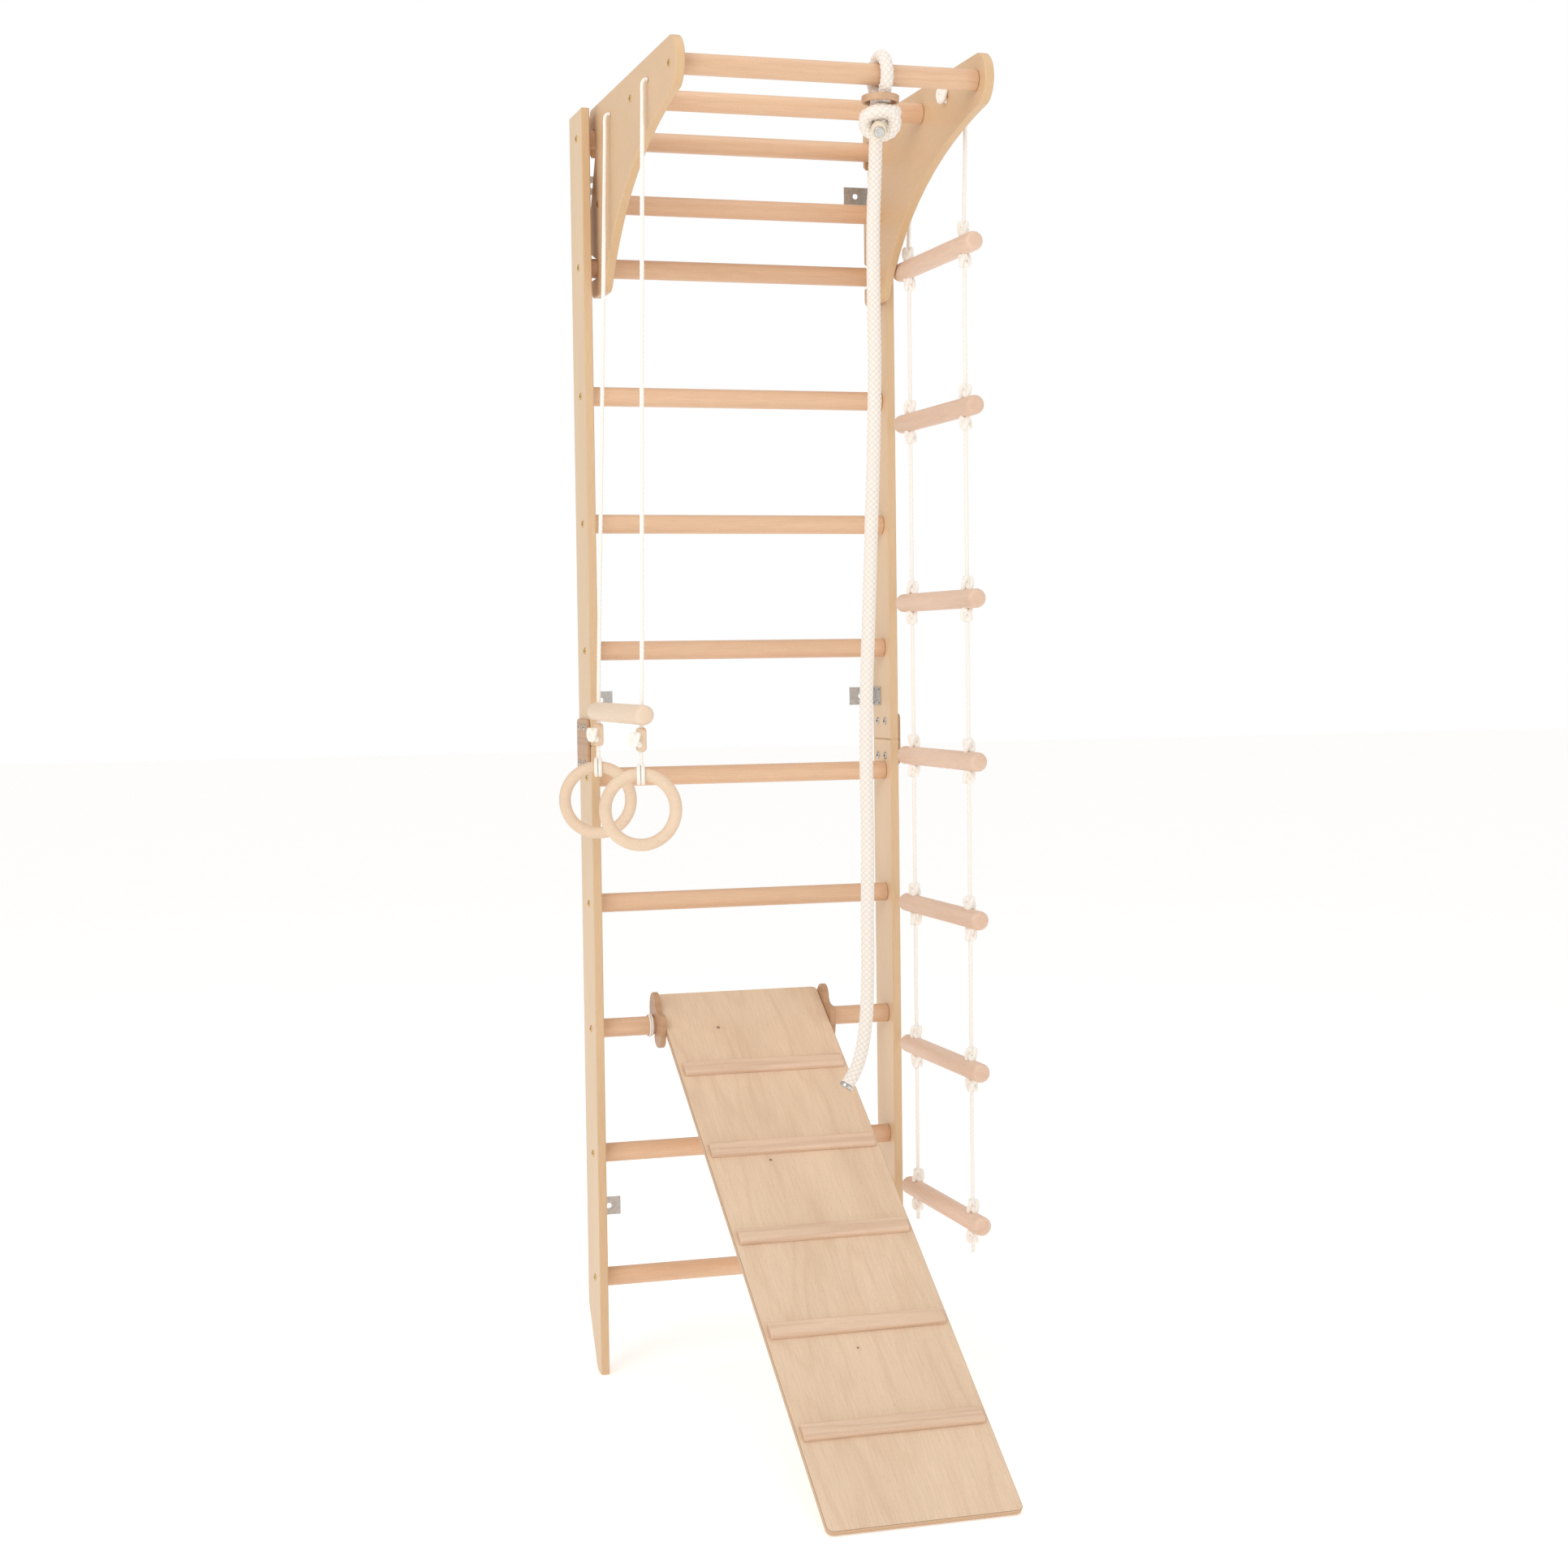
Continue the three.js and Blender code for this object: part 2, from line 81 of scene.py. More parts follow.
LADDER_RUNG_RADIUS = 16
CORD = 7
ROPE = 22
LOOP = 21
LOOP_CLEARANCE = 1.2
STRAND_OFFSET = 10.9
ROPE_X = 88
KNOT_Z = 2085
STOPPER_Z = 2118
TAIL_DROP, TAIL_TURN = math.radians(25), math.radians(-16)
KNOT_SLOPE = math.radians(8)
END_SLOPE = 0.6
SLIDE_RUNG_Z = TOP_RUNG - 7 * RUNG_PITCH
FOOT_REACH = 948
BOARD_UNDERSIDE = RUNG_RADIUS + 1
BOARD_EDGE_LEFT, BOARD_EDGE_RIGHT = -159, 141
BRACKET_HEIGHTS = (2076, 1177, 277)

# ---- details, in metres ----
SLEEVE_START, SLEEVE_LENGTH, SLEEVE_RADIUS = 0.004, 0.024, 0.0115
SCREW_RADIUS, SCREW_DOME = 0.0060, 0.0022
PLY_PAIR = 0.0029
PLAIT_DEPTH = 0.12
STEPS_PER_PLAIT = 4
THICK_CORD = 0.01
ROPE_WEAVE, CORD_WEAVE, KNOT_WEAVE = (6, 0.0046), (5, 0.004), (6, 0.0045)
KNOT_TURN_WIDTH, KNOT_TURN_DEPTH, KNOT_TURN_CORD, KNOT_CORE = 0.0230, 0.0190, 0.0220, 0.028
SMALL_KNOT_SPREAD, SMALL_KNOT_HEIGHT, SMALL_KNOT_CORD = 0.0080, 0.0088, 0.0078
RING_WRAP_RADIUS, RING_WRAP_CORD = 0.0138, 0.0065
SLIDE_TIE_RADIUS, SLIDE_TIE_CORD = 0.0187, 0.0034

BLACK, WHITE = (0.0, 0.0, 0.0), (1.0, 1.0, 1.0)

left_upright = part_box("upright_left_upper")
right_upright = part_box("upright_right_upper")
MIDDLE = (left_upright[0][0] + right_upright[1][0]) / 2
FRONT = left_upright[0][1]


def at(x, y, z):
    """A point given in the gym's own millimetres, in the frame's metres."""
    return Vector((MIDDLE + x / 1000, FRONT + y / 1000, z / 1000))


# ---- camera, lights and floor ----
def add_camera():
    yaw, pitch, roll = (math.radians(angle) for angle in (16.77, -2.87, -0.727))
    forward = Vector((math.sin(yaw) * math.cos(pitch), math.cos(yaw) * math.cos(pitch), math.sin(pitch)))
    side = Vector((math.cos(yaw), -math.sin(yaw), 0))
    rise = side.cross(forward)
    right = side * math.cos(roll) + rise * math.sin(roll)
    up = rise * math.cos(roll) - side * math.sin(roll)
    data = bpy.data.cameras.new("camera")
    data.sensor_width = 36
    data.lens = 58.55
    camera = bpy.data.objects.new("camera", data)
    placed = Matrix((right, up, -forward)).transposed().to_4x4()
    placed.translation = at(-1233, -4310, 1251)
    camera.matrix_world = placed
    bpy.context.scene.collection.objects.link(camera)
    bpy.context.scene.camera = camera


def add_light(name, place, target, size, power):
    data = bpy.data.lights.new(name, "AREA")
    data.shape = "SQUARE"
    data.size = size
    data.energy = power
    light = bpy.data.objects.new(name, data)
    aim = (target - place).to_track_quat("-Z", "Y")
    light.matrix_world = Matrix.Translation(place) @ aim.to_matrix().to_4x4()
    bpy.context.scene.collection.objects.link(light)


def add_studio():
    centre = at(0, -200, 1100)
    add_light("key_light", at(-3200, -3000, 3600), centre, 2.6, 65)
    add_light("fill_light", at(3000, -3400, 2200), centre, 3.0, 16)
    add_light("top_light", at(0, -900, 4200), centre, 2.4, 15)
    world = bpy.data.worlds.new("studio")
    world.use_nodes = True
    tree = world.node_tree
    seen = tree.nodes["Background"]
    seen.inputs["Color"].default_value = (1.0, 1.0, 1.0, 1.0)
    lighting = tree.nodes.new("ShaderNodeBackground")
    lighting.inputs["Strength"].default_value = 0.7
    lighting.inputs["Color"].default_value = (1.0, 0.99, 0.97, 1.0)
    either = tree.nodes.new("ShaderNodeMixShader")
    ray = tree.nodes.new("ShaderNodeLightPath")
    tree.links.new(ray.outputs["Is Camera Ray"], either.inputs[0])
    tree.links.new(lighting.outputs[0], either.inputs[1])
    tree.links.new(seen.outputs[0], either.inputs[2])
    tree.links.new(either.outputs[0], tree.nodes["World Output"].inputs["Surface"])
    bpy.context.scene.world = world
    bpy.context.scene.view_settings.view_transform = "Standard"
    floor_look = Look("studio_floor", 0.95)
    floor_look.shader.inputs["Emission Color"].default_value = (1.0, 1.0, 1.0, 1.0)
    floor_look.shader.inputs["Emission Strength"].default_value = 0.3
    paint = floor_look.noise(floor_look.place(), 3, 2)
    floor_look.colour(floor_look.ramp(paint, [(0.0, (0.97, 0.97, 0.97)), (1.0, (0.99, 0.99, 0.99))]))
    half = 30
    vertices = [(-half, -half, -0.001), (half, -half, -0.001), (half, half, -0.001), (-half, half, -0.001)]
    mesh = bpy.data.meshes.new("studio_floor")
    mesh.from_pydata(vertices, [], [(0, 1, 2, 3)])
    mesh.materials.append(floor_look.material)
    floor = bpy.data.objects.new("studio_floor", mesh)
    bpy.context.scene.collection.objects.link(floor)


# ---- materials ----
class Look:
    """A node material being put together."""

    def __init__(self, name, roughness, metallic=0.0, coat=0.0):
        self.material = bpy.data.materials.new(name)
        self.material.use_nodes = True
        self.nodes = self.material.node_tree.nodes
        self.links = self.material.node_tree.links
        self.shader = self.nodes["Principled BSDF"]
        self.shader.inputs["Roughness"].default_value = roughness
        self.shader.inputs["Metallic"].default_value = metallic
        self.shader.inputs["Coat Weight"].default_value = coat
        self.shader.inputs["Coat Roughness"].default_value = 0.3

    def add(self, kind, inputs, **settings):
        node = self.nodes.new(kind)
        for key, value in settings.items():
            setattr(node, key, value)
        for key, value in inputs.items():
            if isinstance(value, bpy.types.NodeSocket):
                self.links.new(value, node.inputs[key])
            else:
                node.inputs[key].default_value = value
        return node.outputs

    def place(self):
        return self.add("ShaderNodeTexCoord", {})["Object"]

    def normal(self):
        return self.add("ShaderNodeTexCoord", {})["Normal"]

    def hollow(self):
        """0 on a surface and 1 deep in the grooves of a cord, the recess of a screw and the mouth of a hole,
        as set on the mesh; the materials darken these places as painted shade.
        """
        return self.add("ShaderNodeAttribute", {}, attribute_name="hollow")["Fac"]

    def chance(self):
        return self.add("ShaderNodeObjectInfo", {})["Random"]

    def math(self, operation, first, second=0.0, third=0.0):
        return self.add("ShaderNodeMath", {0: first, 1: second, 2: third}, operation=operation)[0]

    def dot(self, vector, direction):
        return self.add("ShaderNodeVectorMath", {0: vector, 1: direction}, operation="DOT_PRODUCT")["Value"]

    def combine(self, x, y, z):
        return self.add("ShaderNodeCombineXYZ", {0: x, 1: y, 2: z})[0]

    def noise(self, vector, scale, detail):
        return self.add("ShaderNodeTexNoise", {"Vector": vector, "Scale": scale, "Detail": detail})[0]

    def ramp(self, factor, stops):
        outputs = self.add("ShaderNodeValToRGB", {0: factor})
        ramp = outputs[0].node.color_ramp
        while len(ramp.elements) < len(stops):
            ramp.elements.new(0.5)
        for element, (position, colour) in zip(ramp.elements, stops):
            element.position = position
            element.color = (*colour, 1.0)
        return outputs[0]

    def mix(self, factor, first, second, blend="MIX"):
        first, second = (c if isinstance(c, bpy.types.NodeSocket) else (*c, 1.0) for c in (first, second))
        inputs = {0: factor, 6: first, 7: second}
        return self.add("ShaderNodeMix", inputs, data_type="RGBA", blend_type=blend)[2]

    def colour(self, socket):
        self.links.new(socket, self.shader.inputs["Base Color"])

    def bump(self, height, strength, distance):
        bump = self.add("ShaderNodeBump", {"Height": height, "Strength": strength, "Distance": distance})
        self.links.new(bump[0], self.shader.inputs["Normal"])


def darker(colour, share):
    return tuple(c * share for c in colour)


def linear(red, green, blue):
    """A colour as seen on a screen, 0 to 255, as the shader's linear numbers."""
    return tuple(((c / 255 + 0.055) / 1.055) ** 2.4 for c in (red, green, blue))


def grain_axes(look, grain, through):
    """Distances across, through and along the grain, the last shifted from piece to piece."""
    grain, through = Vector(grain).normalized(), Vector(through).normalized()
    point = look.place()
    across = look.dot(point, grain.cross(through))
    along = look.math("ADD", look.dot(point, grain), look.math("MULTIPLY", look.chance(), 7.0))
    return across, look.dot(point, through), along


def stretched(look, axes, across_scale, along_scale, detail):
    """Noise drawn out along the grain; the scales are features per metre."""
    scales = (across_scale, across_scale, along_scale)
    scaled = [look.math("MULTIPLY", axis, scale) for axis, scale in zip(axes, scales)]
    return look.noise(look.combine(*scaled), 1.0, detail)


def growth_lines(look, axes, swell_scale, along_scale, count):
    """Soft contour lines of a drawn-out noise: the arches and stripes of sawn or peeled wood."""
    swell = stretched(look, axes, swell_scale, along_scale, 2.0)
    wave = look.math("SINE", look.math("MULTIPLY", swell, count))
    height = look.math("MULTIPLY_ADD", wave, 0.5, 0.5)
    return look.ramp(height, [(0.0, BLACK), (0.7, (0.3, 0.3, 0.3)), (1.0, WHITE)])


def shade_with(look, face, noise, low, high, amount):
    """Darkens and lightens a colour a little by a noise."""
    tone = look.ramp(noise, [(0.3, (low, low * 0.985, low * 0.97)), (0.7, (high, high, high))])
    return look.mix(amount, face, tone, "MULTIPLY")


def lacquered_board(name, pale, edge, grain):
    """Smooth, evenly lacquered board whose cut edges are warmer than its faces."""
    look = Look(name, 0.45, coat=0.15)
    axes = grain_axes(look, grain, (1, 0, 0))
    cloud = stretched(look, axes, 9.0, 2.2, 4.0)
    fibres = stretched(look, axes, 700.0, 30.0, 2.0)
    face = look.mix(look.math("MULTIPLY", growth_lines(look, axes, 16.0, 1.6, 26.0), 0.10), pale, edge)
    face = shade_with(look, face, cloud, 0.965, 1.02, 1.0)
    face = shade_with(look, face, fibres, 0.95, 1.02, 0.8)
    rim = shade_with(look, edge, fibres, 0.93, 1.03, 1.0)
    square = look.math("ABSOLUTE", look.dot(look.normal(), (1, 0, 0)))
    look.colour(look.mix(look.math("LESS_THAN", square, 0.72), face, rim))
    look.bump(fibres, 0.05, 0.0003)
    return look.material


def veneer(name, pale, dark, grain, through, knots):
    """Birch plywood: faint arched grain, short pores, small dark knots, and layers on its edges."""
    look = Look(name, 0.5, coat=0.1)
    axes = grain_axes(look, grain, through)
    lines = growth_lines(look, axes, 9.0, 1.5, 60.0)
    fibres = stretched(look, axes, 900.0, 22.0, 2.0)
    pores = stretched(look, axes, 1500.0, 110.0, 0.0)
    cloud = stretched(look, axes, 12.0, 4.0, 3.0)
    face = look.mix(look.math("MULTIPLY", lines, 0.20), pale, dark)
    face = shade_with(look, face, cloud, 0.95, 1.03, 1.0)
    face = shade_with(look, face, fibres, 0.91, 1.03, 0.9)
    pore = look.ramp(pores, [(0.66, BLACK), (0.74, WHITE)])
    face = look.mix(look.math("MULTIPLY", pore, 0.16), face, darker(dark, 0.5))
    for place, size in knots:
        away = look.add("ShaderNodeVectorMath", {0: look.place(), 1: place}, operation="DISTANCE")["Value"]
        halo = look.ramp(look.math("DIVIDE", away, size * 5), [(0.0, WHITE), (1.0, BLACK)])
        heart = look.ramp(look.math("DIVIDE", away, size), [(0.55, WHITE), (1.0, BLACK)])
        face = look.mix(look.math("MULTIPLY", halo, 0.22), face, dark)
        face = look.mix(look.math("MULTIPLY", heart, 0.8), face, darker(dark, 0.25))
    wave = look.math("SINE", look.math("MULTIPLY", axes[1], 2 * math.pi / PLY_PAIR))
    layer = look.ramp(look.math("MULTIPLY_ADD", wave, 0.5, 0.5), [(0.3, BLACK), (0.7, WHITE)])
    pale_layer = tuple(c * share for c, share in zip(pale, (0.98, 0.88, 0.74)))
    edge = look.mix(layer, pale_layer, darker(dark, 0.68))
    edge = shade_with(look, edge, fibres, 0.9, 1.03, 0.8)
    square = look.math("ABSOLUTE", look.dot(look.normal(), Vector(through).normalized()))
    look.colour(look.mix(look.math("LESS_THAN", square, 0.72), face, edge))
    look.bump(fibres, 0.10, 0.0004)
    return look.material


def solid_wood(name, pale, dark, grain, lines=0.35, count=22.0, roughness=0.42):
    """Turned or planed beech: long soft streaks, short dark flecks, and darker end grain."""
    look = Look(name, roughness, coat=0.15)
    side = (0, 0, 1)
    axes = grain_axes(look, grain, side)
    streaks = growth_lines(look, axes, 24.0, 0.9, count)
    fibres = stretched(look, axes, 800.0, 26.0, 2.0)
    flecks = stretched(look, axes, 1300.0, 260.0, 0.0)
    cloud = stretched(look, axes, 14.0, 2.0, 3.0)
    tint = look.math("MULTIPLY", look.chance(), 0.28)
    face = look.mix(tint, pale, dark)
    face = look.mix(look.math("MULTIPLY", streaks, lines), face, dark)
    face = shade_with(look, face, cloud, 0.93, 1.03, 1.0)
    face = shade_with(look, face, fibres, 0.92, 1.03, 0.9)
    fleck = look.ramp(flecks, [(0.68, BLACK), (0.78, WHITE)])
    face = look.mix(look.math("MULTIPLY", fleck, 0.22), face, darker(dark, 0.5))
    end = look.ramp(look.math("ABSOLUTE", look.dot(look.normal(), Vector(grain))),
                    [(0.85, BLACK), (0.97, WHITE)])
    look.colour(look.mix(look.math("MULTIPLY", end, 0.4), face, dark))
    look.bump(fibres, 0.07, 0.0003)
    return look.material


def fibre_cord(name, pale, groove_shade):
    """Ivory cord: its plaits are in the mesh, and the grooves between them are painted a little darker as
    shade.
    """
    look = Look(name, 0.85)
    look.shader.inputs["Sheen Weight"].default_value = 0.25
    fuzz = look.noise(look.place(), 2600.0, 2.0)
    # Painted shade: the grooves between the plaits are darkened by how deep they lie.
    face = look.mix(look.ramp(look.hollow(), [(0.4, BLACK), (0.95, WHITE)]), pale, groove_shade)
    tone = look.ramp(fuzz, [(0.3, (0.94, 0.935, 0.92)), (0.7, (1.03, 1.03, 1.03))])
    look.colour(look.mix(0.8, face, tone, "MULTIPLY"))
    look.bump(fuzz, 0.3, 0.0003)
    return look.material


def metal(name, tint, roughness, scale, metallic=1.0):
    look = Look(name, roughness, metallic=metallic)
    wear = look.noise(look.place(), scale, 3.0)
    face = look.ramp(wear, [(0.35, darker(tint, 0.82)), (0.65, tint)])
    # Painted shade: screw recesses and hole mouths marked on the mesh are darkened almost to black.
    look.colour(look.mix(look.hollow(), face, darker(tint, 0.05)))
    look.bump(wear, 0.08, 0.0002)
    return look.material


def sleeve_plastic():
    look = Look("cream_sleeve", 0.55)
    cloud = look.noise(look.place(), 180.0, 3.0)
    look.colour(look.ramp(cloud, [(0.3, linear(222, 204, 176)), (0.7, linear(238, 226, 204))]))
    look.bump(cloud, 0.1, 0.0003)
    return look.material


slide_reach = math.hypot(SLIDE_RUNG_Z, FOOT_REACH)
board_tilt = math.atan2(SLIDE_RUNG_Z, FOOT_REACH) + math.asin(BOARD_UNDERSIDE / slide_reach)
board_grain = Vector((0, math.cos(board_tilt), math.sin(board_tilt)))
board_up = Vector((0, -math.sin(board_tilt), math.cos(board_tilt)))
BOARD_FOOT = -math.sqrt(slide_reach**2 - BOARD_UNDERSIDE**2)


def on_board(x, from_foot, height=27.5):
    """A point above the slide board, by its distance up the board from the foot."""
    axis = at(x, RUNG_AXIS_Y, SLIDE_RUNG_Z)
    return axis + board_grain * ((BOARD_FOOT + from_foot) / 1000) + board_up * (height / 1000)


BOARD_KNOTS = [(on_board(-65, 1078), 0.0042), (on_board(15, 960), 0.0030), (on_board(-54, 745), 0.0034),
               (on_board(105, 590), 0.0040), (on_board(-20, 330), 0.0026)]
BOARD_COLOUR = linear(230, 202, 173)

upright_look = lacquered_board("upright_lacquer", linear(224, 195, 160), linear(214, 181, 142), (0, 0, 1))
# The cheeks have the uprights' lacquer, painted darker throughout as the shade their inner faces sit in.
cheek_shaded_look = lacquered_board("cheek_lacquer_shaded", linear(216, 181, 142), linear(215, 180, 138), (0, 1, 0))
board_look = veneer("board_birch", BOARD_COLOUR, linear(206, 168, 136), board_grain, board_up, BOARD_KNOTS)
hook_look = solid_wood("hook_wood", linear(194, 153, 116), linear(172, 130, 97), (0, 0, 1), lines=0.5,
                       count=40.0)
beech_look = solid_wood("beech_across", linear(229, 191, 157), linear(212, 168, 133), (1, 0, 0))
cleat_look = solid_wood("cleat_beech", linear(231, 201, 174), linear(209, 175, 148), (1, 0, 0), lines=0.6,
                        count=46.0)
ladder_look = solid_wood("beech_deep", linear(234, 204, 182), linear(214, 178, 152), (0, 1, 0), roughness=0.6)
ring_look = solid_wood("pale_wood_across", linear(234, 209, 182), linear(220, 192, 164), (1, 0, 0),
                       lines=0.12, roughness=0.6)
trapeze_look = solid_wood("pale_wood_deep", linear(238, 216, 192), linear(224, 198, 172), (0, 1, 0),
                          lines=0.15, roughness=0.6)
stopper_look = solid_wood("stopper_wood", linear(206, 168, 134), linear(178, 136, 104), (1, 0, 0), lines=0.4)
# The second colour of each cord is painted shade for the grooves between its plaits.
cord_look = fibre_cord("ivory_cord", linear(248, 243, 236), linear(243, 237, 229))
rope_look = fibre_cord("ivory_rope", linear(242, 233, 224), linear(226, 215, 203))
zinc = metal("zinc_steel", linear(206, 205, 203), 0.45, 220.0, 0.8)
brass = metal("brass_screw", linear(222, 184, 116), 0.32, 900.0)
polished = metal("ferrule_steel", linear(206, 203, 200), 0.25, 300.0)
sleeve_look = sleeve_plastic()


# ---- mesh helpers ----
def basis_for(direction):
    """Two unit vectors square to a direction."""
    direction = Vector(direction).normalized()
    helper = Vector((0, 0, 1)) if abs(direction.z) < 0.9 else Vector((1, 0, 0))
    first = direction.cross(helper).normalized()
    return first, direction.cross(first)


def lathe(start, direction, profile, segments=40):
    """Vertices and faces of a turned solid; the profile's (along, radius) pairs begin and end on the axis."""
    direction = Vector(direction).normalized()
    first, second = basis_for(direction)
    vertices, faces, rows = [], [], []
    for along, radius in profile:
        centre = start + direction * along
        if radius < 1e-7:
            rows.append([len(vertices)])
            vertices.append(centre)
            continue
        rows.append(list(range(len(vertices), len(vertices) + segments)))
        for i in range(segments):
            turn = 2 * math.pi * i / segments
            vertices.append(centre + (first * math.cos(turn) + second * math.sin(turn)) * radius)
    for low, high in zip(rows, rows[1:]):
        for i in range(segments):
            j = (i + 1) % segments
            if len(low) == 1:
                faces.append((low[0], high[j], high[i]))
            elif len(high) == 1:
                faces.append((low[i], low[j], high[0]))
            else:
                faces.append((low[i], low[j], high[j], high[i]))
    return vertices, faces


def rod_profile(length, radius, rounding, steps=6):
    arc = [(rounding * (1 - math.cos(t)), radius - rounding * (1 - math.sin(t)))
           for t in (math.pi / 2 * i / steps for i in range(steps + 1))]
    near = [(0.0, 0.0)] + ([(0.0, (radius - rounding) * 0.5)] if radius > rounding else []) + arc
    far = [(length - along, r) for along, r in reversed(near)]
    return near + far


def merged(parts):
    vertices, faces = [], []
    for more_vertices, more_faces in parts:
        base = len(vertices)
        vertices.extend(more_vertices)
        faces.extend(tuple(base + i for i in face) for face in more_faces)
    return vertices, faces


def gathered(pieces):
    """Several (shape, hollows) pairs as one."""
    shapes, hollows = zip(*pieces)
    return merged(shapes), [depth for piece in hollows for depth in piece]


def add_piece(name, shape, material, body, replaced=(), hollows=None):
    vertices, faces = shape
    mesh = bpy.data.meshes.new(name)
    mesh.from_pydata([tuple(v) for v in vertices], [], faces)
    mesh.polygons.foreach_set("use_smooth", [True] * len(mesh.polygons))
    mesh.update()
    mesh.materials.append(material)
    if hollows is not None:
        mesh.attributes.new("hollow", "FLOAT", "POINT").data.foreach_set("value", hollows)
    piece = bpy.data.objects.new(name, mesh)
    bpy.context.scene.collection.objects.link(piece)
    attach(piece, body)
    if replaced:
        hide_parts(*replaced)
    return piece


def smooth_path(points, step, closed=False):
    """Points about `step` apart on a smooth curve through the given points."""
    points = np.array([tuple(p) for p in points])
    count = len(points)
    dense = []
    for i in range(count if closed else count - 1):
        if closed:
            p0, p1, p2, p3 = (points[(i + k) % count] for k in (-1, 0, 1, 2))
        else:
            p1, p2 = points[i], points[i + 1]
            p0 = points[i - 1] if i else 2 * p1 - p2
            p3 = points[i + 2] if i + 2 < count else 2 * p2 - p1
        k0, k1, k2 = (max(np.linalg.norm(b - a), 1e-9) ** 0.5 for a, b in ((p0, p1), (p1, p2), (p2, p3)))
        start = k1 * ((p1 - p0) / k0 - (p2 - p0) / (k0 + k1)) + (p2 - p1)
        end = k1 * ((p3 - p2) / k2 - (p3 - p1) / (k1 + k2)) + (p2 - p1)
        for t in np.arange(0, 1, 1 / 24):
            dense.append(p1 * (2 * t**3 - 3 * t**2 + 1) + p2 * (3 * t**2 - 2 * t**3)
                         + start * (t**3 - 2 * t**2 + t) + end * (t**3 - t**2))
    dense.append(points[0] if closed else points[-1])
    dense = np.array(dense)
    travelled = np.concatenate([[0], np.cumsum(np.linalg.norm(np.diff(dense, axis=0), axis=1))])
    steps = max(3, int(round(travelled[-1] / step)))
    even = np.linspace(0, travelled[-1], steps + 1)
    resampled = np.stack([np.interp(even, travelled, dense[:, i]) for i in range(3)], axis=1)
    return resampled[:-1] if closed else resampled, travelled[-1]


def plaited_tube(points, diameter, plaits, pitch, depth, closed=False):
    """A braided cord along the points: mesh, hollows, path and length."""
    radius = diameter / 2
    path, length = smooth_path(points, pitch / STEPS_PER_PLAIT, closed)
    count = len(path)
    if closed:
        tangents = np.roll(path, -1, axis=0) - np.roll(path, 1, axis=0)
    else:
        tangents = np.gradient(path, axis=0)
    tangents /= np.linalg.norm(tangents, axis=1)[:, None]
    first = np.array(basis_for(tangents[0])[0])
    sides = 24 if diameter < THICK_CORD else 48
    turns = 2 * np.pi * np.arange(sides) / sides
    cells = round(length / pitch)
    vertices = np.zeros((count, sides, 3))
    hollows = np.zeros((count, sides))
    for i in range(count):
        first = first - tangents[i] * np.dot(first, tangents[i])
        first /= np.linalg.norm(first)
        second = np.cross(tangents[i], first)
        travelled = cells * i / (count if closed else count - 1)
        right_hand = turns * plaits / (2 * np.pi) + travelled / 2
        left_hand = turns * plaits / (2 * np.pi) - travelled / 2
        over = (np.floor(right_hand) + np.floor(left_hand)) % 2 == 0
        across = np.sin(np.pi * (right_hand % 1))
        along = np.sin(np.pi * (left_hand % 1))
        height = np.where(over, across ** 0.5 * along ** 1.1, along ** 0.5 * across ** 1.1)
        # How deep each point lies between the plaits, which the cord material darkens as painted shade.
        hollows[i] = 1 - height
        reach = radius * (1 - depth * (1 - height))
        vertices[i] = path[i] + reach[:, None] * (
            np.cos(turns)[:, None] * first + np.sin(turns)[:, None] * second)
    faces = []
    for i in range(count if closed else count - 1):
        j = (i + 1) % count
        for k in range(sides):
            m = (k + 1) % sides
            faces.append((i * sides + k, i * sides + m, j * sides + m, j * sides + k))
    vertices = [tuple(v) for v in vertices.reshape(-1, 3)]
    hollows = list(hollows.reshape(-1))
    if not closed:
        for row, flip in ((0, True), (count - 1, False)):
            centre = len(vertices)
            vertices.append(tuple(path[row]))
            hollows.append(0.0)
            ring = [row * sides + k for k in range(sides)]
            for k in range(sides):
                pair = (ring[k], ring[(k + 1) % sides])
                faces.append((centre, *(reversed(pair) if flip else pair)))
    return (vertices, faces), hollows, [Vector(p) for p in path], length


def add_cord(name, points, diameter, material, body, replaced, weave):
    """A cord in the place of its CAD node; `weave` is its number of plaits and their pitch."""
    shape, hollows, path, length = plaited_tube(points, diameter / 1000, *weave, PLAIT_DEPTH)
    cord = add_piece(name, shape, material, body, [replaced], hollows)


# ---- turned pieces ----
def add_rod(node, material, body, rounding):
    """A smooth turned stick in the place of a straight CAD stick along X or Y."""
    low, high = (Vector(corner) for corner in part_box(node))
    size = high - low
    axis = 0 if size.x > size.y else 1
    direction = Vector((1, 0, 0)) if axis == 0 else Vector((0, 1, 0))
    centre = (low + high) / 2
    start = centre - direction * size[axis] / 2
    shape = lathe(start, direction, rod_profile(size[axis], size.z / 2, rounding / 1000), 48)
    add_piece(node + "_turned", shape, material, body, [node])


def add_rungs_and_bars():
    for number in range(1, 11):
        add_rod(f"wall_rung_{number}", beech_look, "wall_bars", 1.5)
    for place in ("front", "middle", "rear"):
        add_rod(f"pull_up_bar_{place}", beech_look, "pull_up_frame", 1.5)
    for number in range(1, 8):
        add_rod(f"ladder_rung_{number}", ladder_look, "rope_ladder", 9)
    add_rod("trapeze_bar", trapeze_look, "trapeze", 9)


